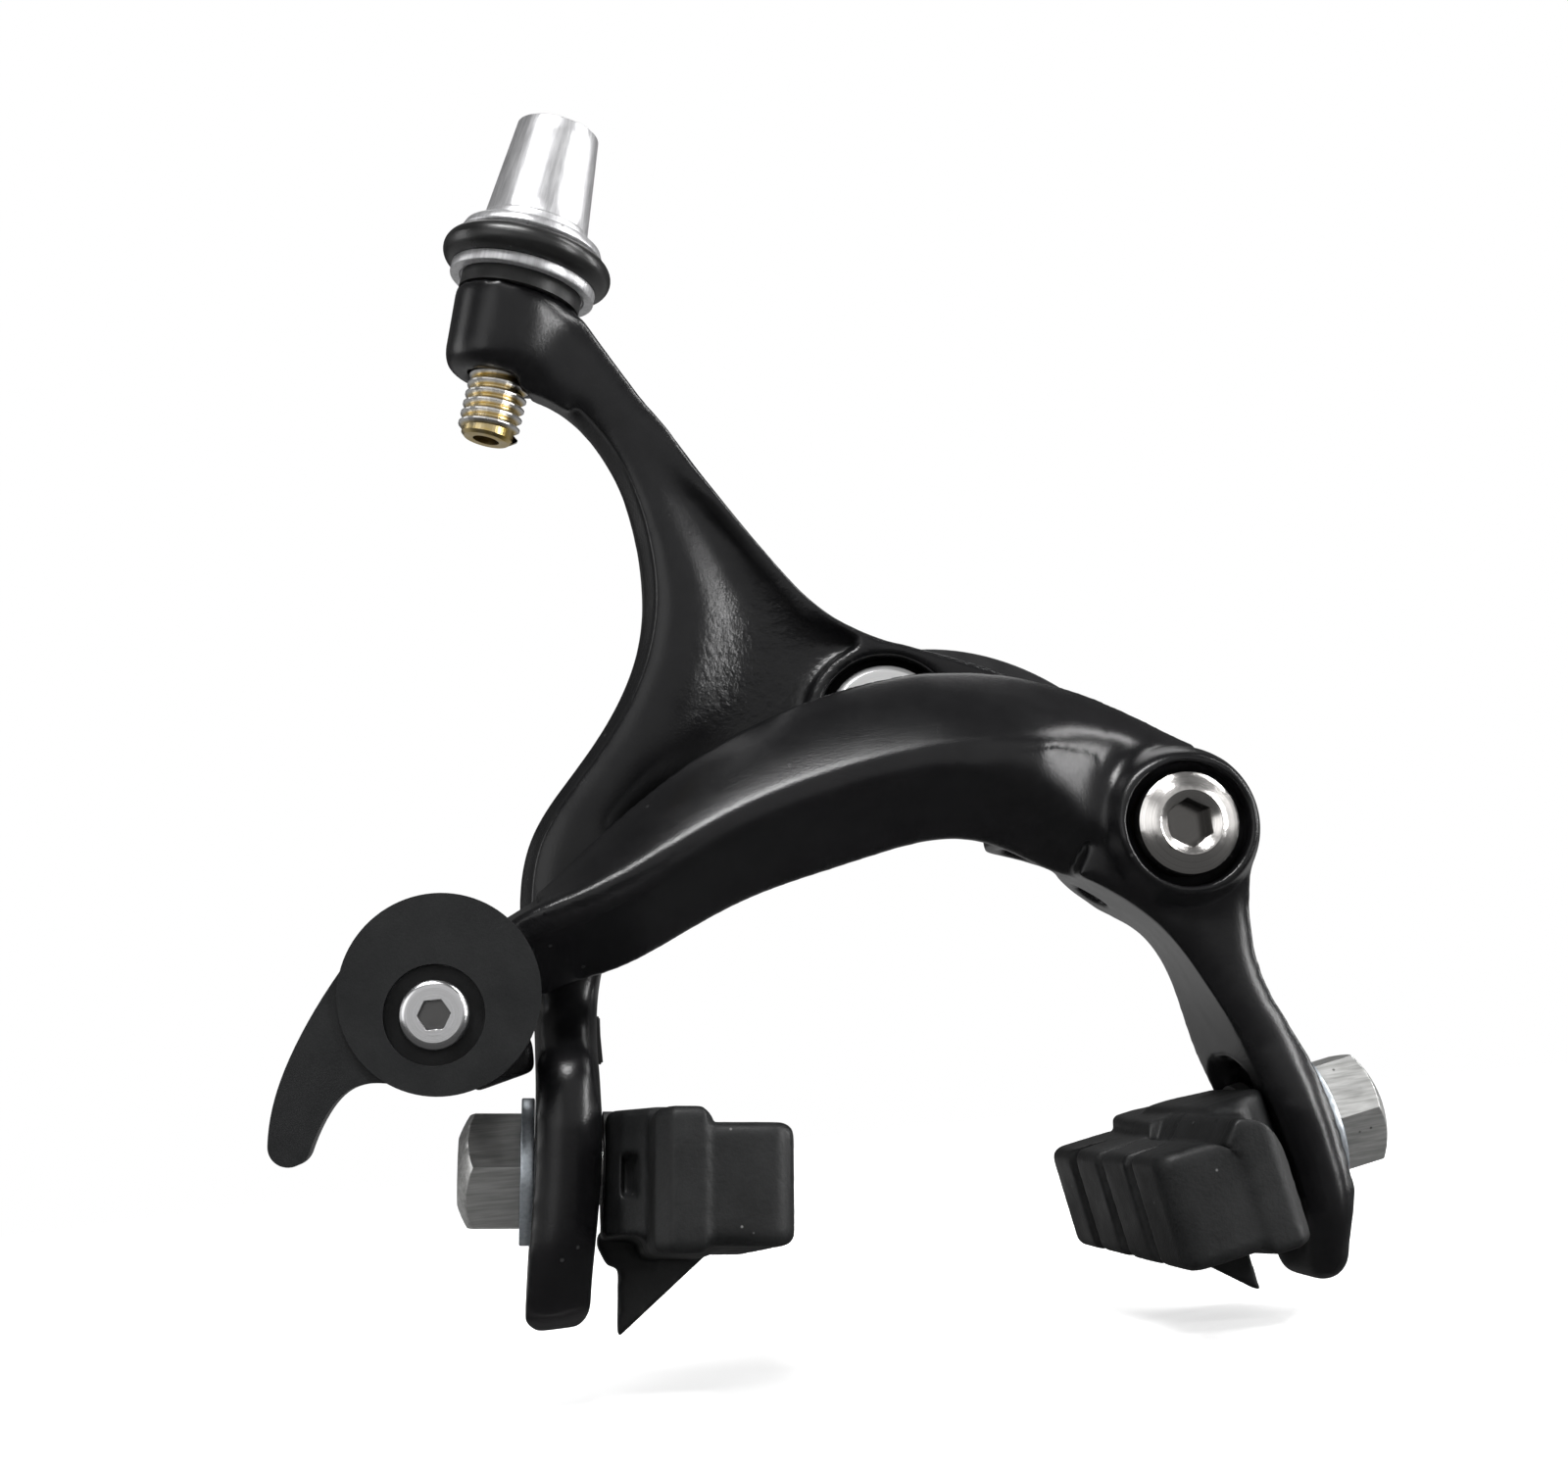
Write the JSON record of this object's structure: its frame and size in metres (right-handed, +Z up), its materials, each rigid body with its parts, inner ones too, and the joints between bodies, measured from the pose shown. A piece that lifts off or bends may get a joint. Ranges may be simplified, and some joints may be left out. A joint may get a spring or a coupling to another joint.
{
  "type": "dual pivot caliper brake",
  "caption": "Dual pivot side-pull rim brake with forged arms, cable adjuster, quick release lever and rubber shoes on tilted legs.",
  "frame": {"origin": "centre of the mounting bolt on the rear seat of the brake, where it meets the fork crown", "axes": "+Y to the rear along the mounting bolt, +Z up, +X across the wheel to the side pivot"},
  "size_m": [0.1019, 0.0676, 0.1222],
  "materials": {
    "black_paint": "gloss",
    "black_metal": "satin",
    "zinc_steel": "satin",
    "bright_steel": "gloss",
    "spring_steel": "satin",
    "black_steel": "satin",
    "bronze": "satin",
    "turned_aluminium": "brushed",
    "ring_rubber": "gloss",
    "shoe_rubber": "matte",
    "black_plastic": "matte"
  },
  "bodies": {
    "frame_side": {"bracket": "black_metal", "serrated_washer": "zinc_steel", "centre_bolt": "zinc_steel", "centre_thrust_washer": "zinc_steel", "centre_nut": "bright_steel", "side_pivot_bolt": "bright_steel", "pivot_thrust_washer": "zinc_steel", "spring_post": "zinc_steel", "return_spring": "spring_steel"},
    "c_arm": {"c_arm": "black_paint", "pivot_bush": "bronze", "contact_screw": "black_steel", "set_screw": "black_steel", "right_brake_shoe": "shoe_rubber", "right_shoe_stud": "zinc_steel", "right_shoe_spacer": "black_plastic", "right_shoe_washer": "zinc_steel", "right_shoe_nut": "zinc_steel"},
    "y_arm": {"y_arm": "black_paint", "centre_bush": "bronze", "spring_slider": "black_plastic", "adjuster_seat": "black_plastic", "left_brake_shoe": "shoe_rubber", "left_shoe_stud": "zinc_steel", "left_shoe_spacer": "black_plastic", "left_shoe_washer": "zinc_steel", "left_shoe_nut": "zinc_steel"},
    "adjuster_barrel": {"adjuster_barrel": "turned_aluminium"},
    "adjuster_knob": {"adjuster_knob": "turned_aluminium", "adjuster_o_ring": "ring_rubber"},
    "quick_release": {"qr_lever": "black_plastic", "qr_screw": "bright_steel", "qr_shaft": "zinc_steel", "cable_plate": "zinc_steel", "cable_nut": "zinc_steel"}
  },
  "joints": [
    {"name": "c_arm_pivot", "type": "hinge", "parent": "frame_side", "child": "c_arm", "pos_m": [0.0245, -0.015, -0.0133], "axis": [0, 1, 0], "range_deg": [0, 11]},
    {"name": "y_arm_pivot", "type": "hinge", "parent": "frame_side", "child": "y_arm", "pos_m": [0, -0.01, 0], "axis": [0, 1, 0], "range_deg": [-7.81, 0], "stiffness_Nm_per_rad": 1, "springref_deg": 28.65, "deforming": ["return_spring"]},
    {"name": "adjuster_turn", "type": "hinge", "parent": "adjuster_barrel", "child": "adjuster_knob", "pos_m": [-0.0328, -0.0108, 0.041], "axis": [0.304, 0, 0.9527], "range_deg": [0, 1440]},
    {"name": "adjuster_slide", "type": "slide", "parent": "y_arm", "child": "adjuster_barrel", "axis": [0.304, 0, 0.9527], "range_m": [0, 0.004]},
    {"name": "quick_release_turn", "type": "hinge", "parent": "c_arm", "child": "quick_release", "pos_m": [-0.0446, -0.02, -0.0236], "axis": [0, 1, 0], "range_deg": [0, 85]}
  ],
  "couplings": [
    {"joint": "y_arm_pivot", "follows": "c_arm_pivot", "ratio": -0.71},
    {"joint": "adjuster_slide", "follows": "adjuster_turn", "m_per_rad": 0.00015915}
  ]
}
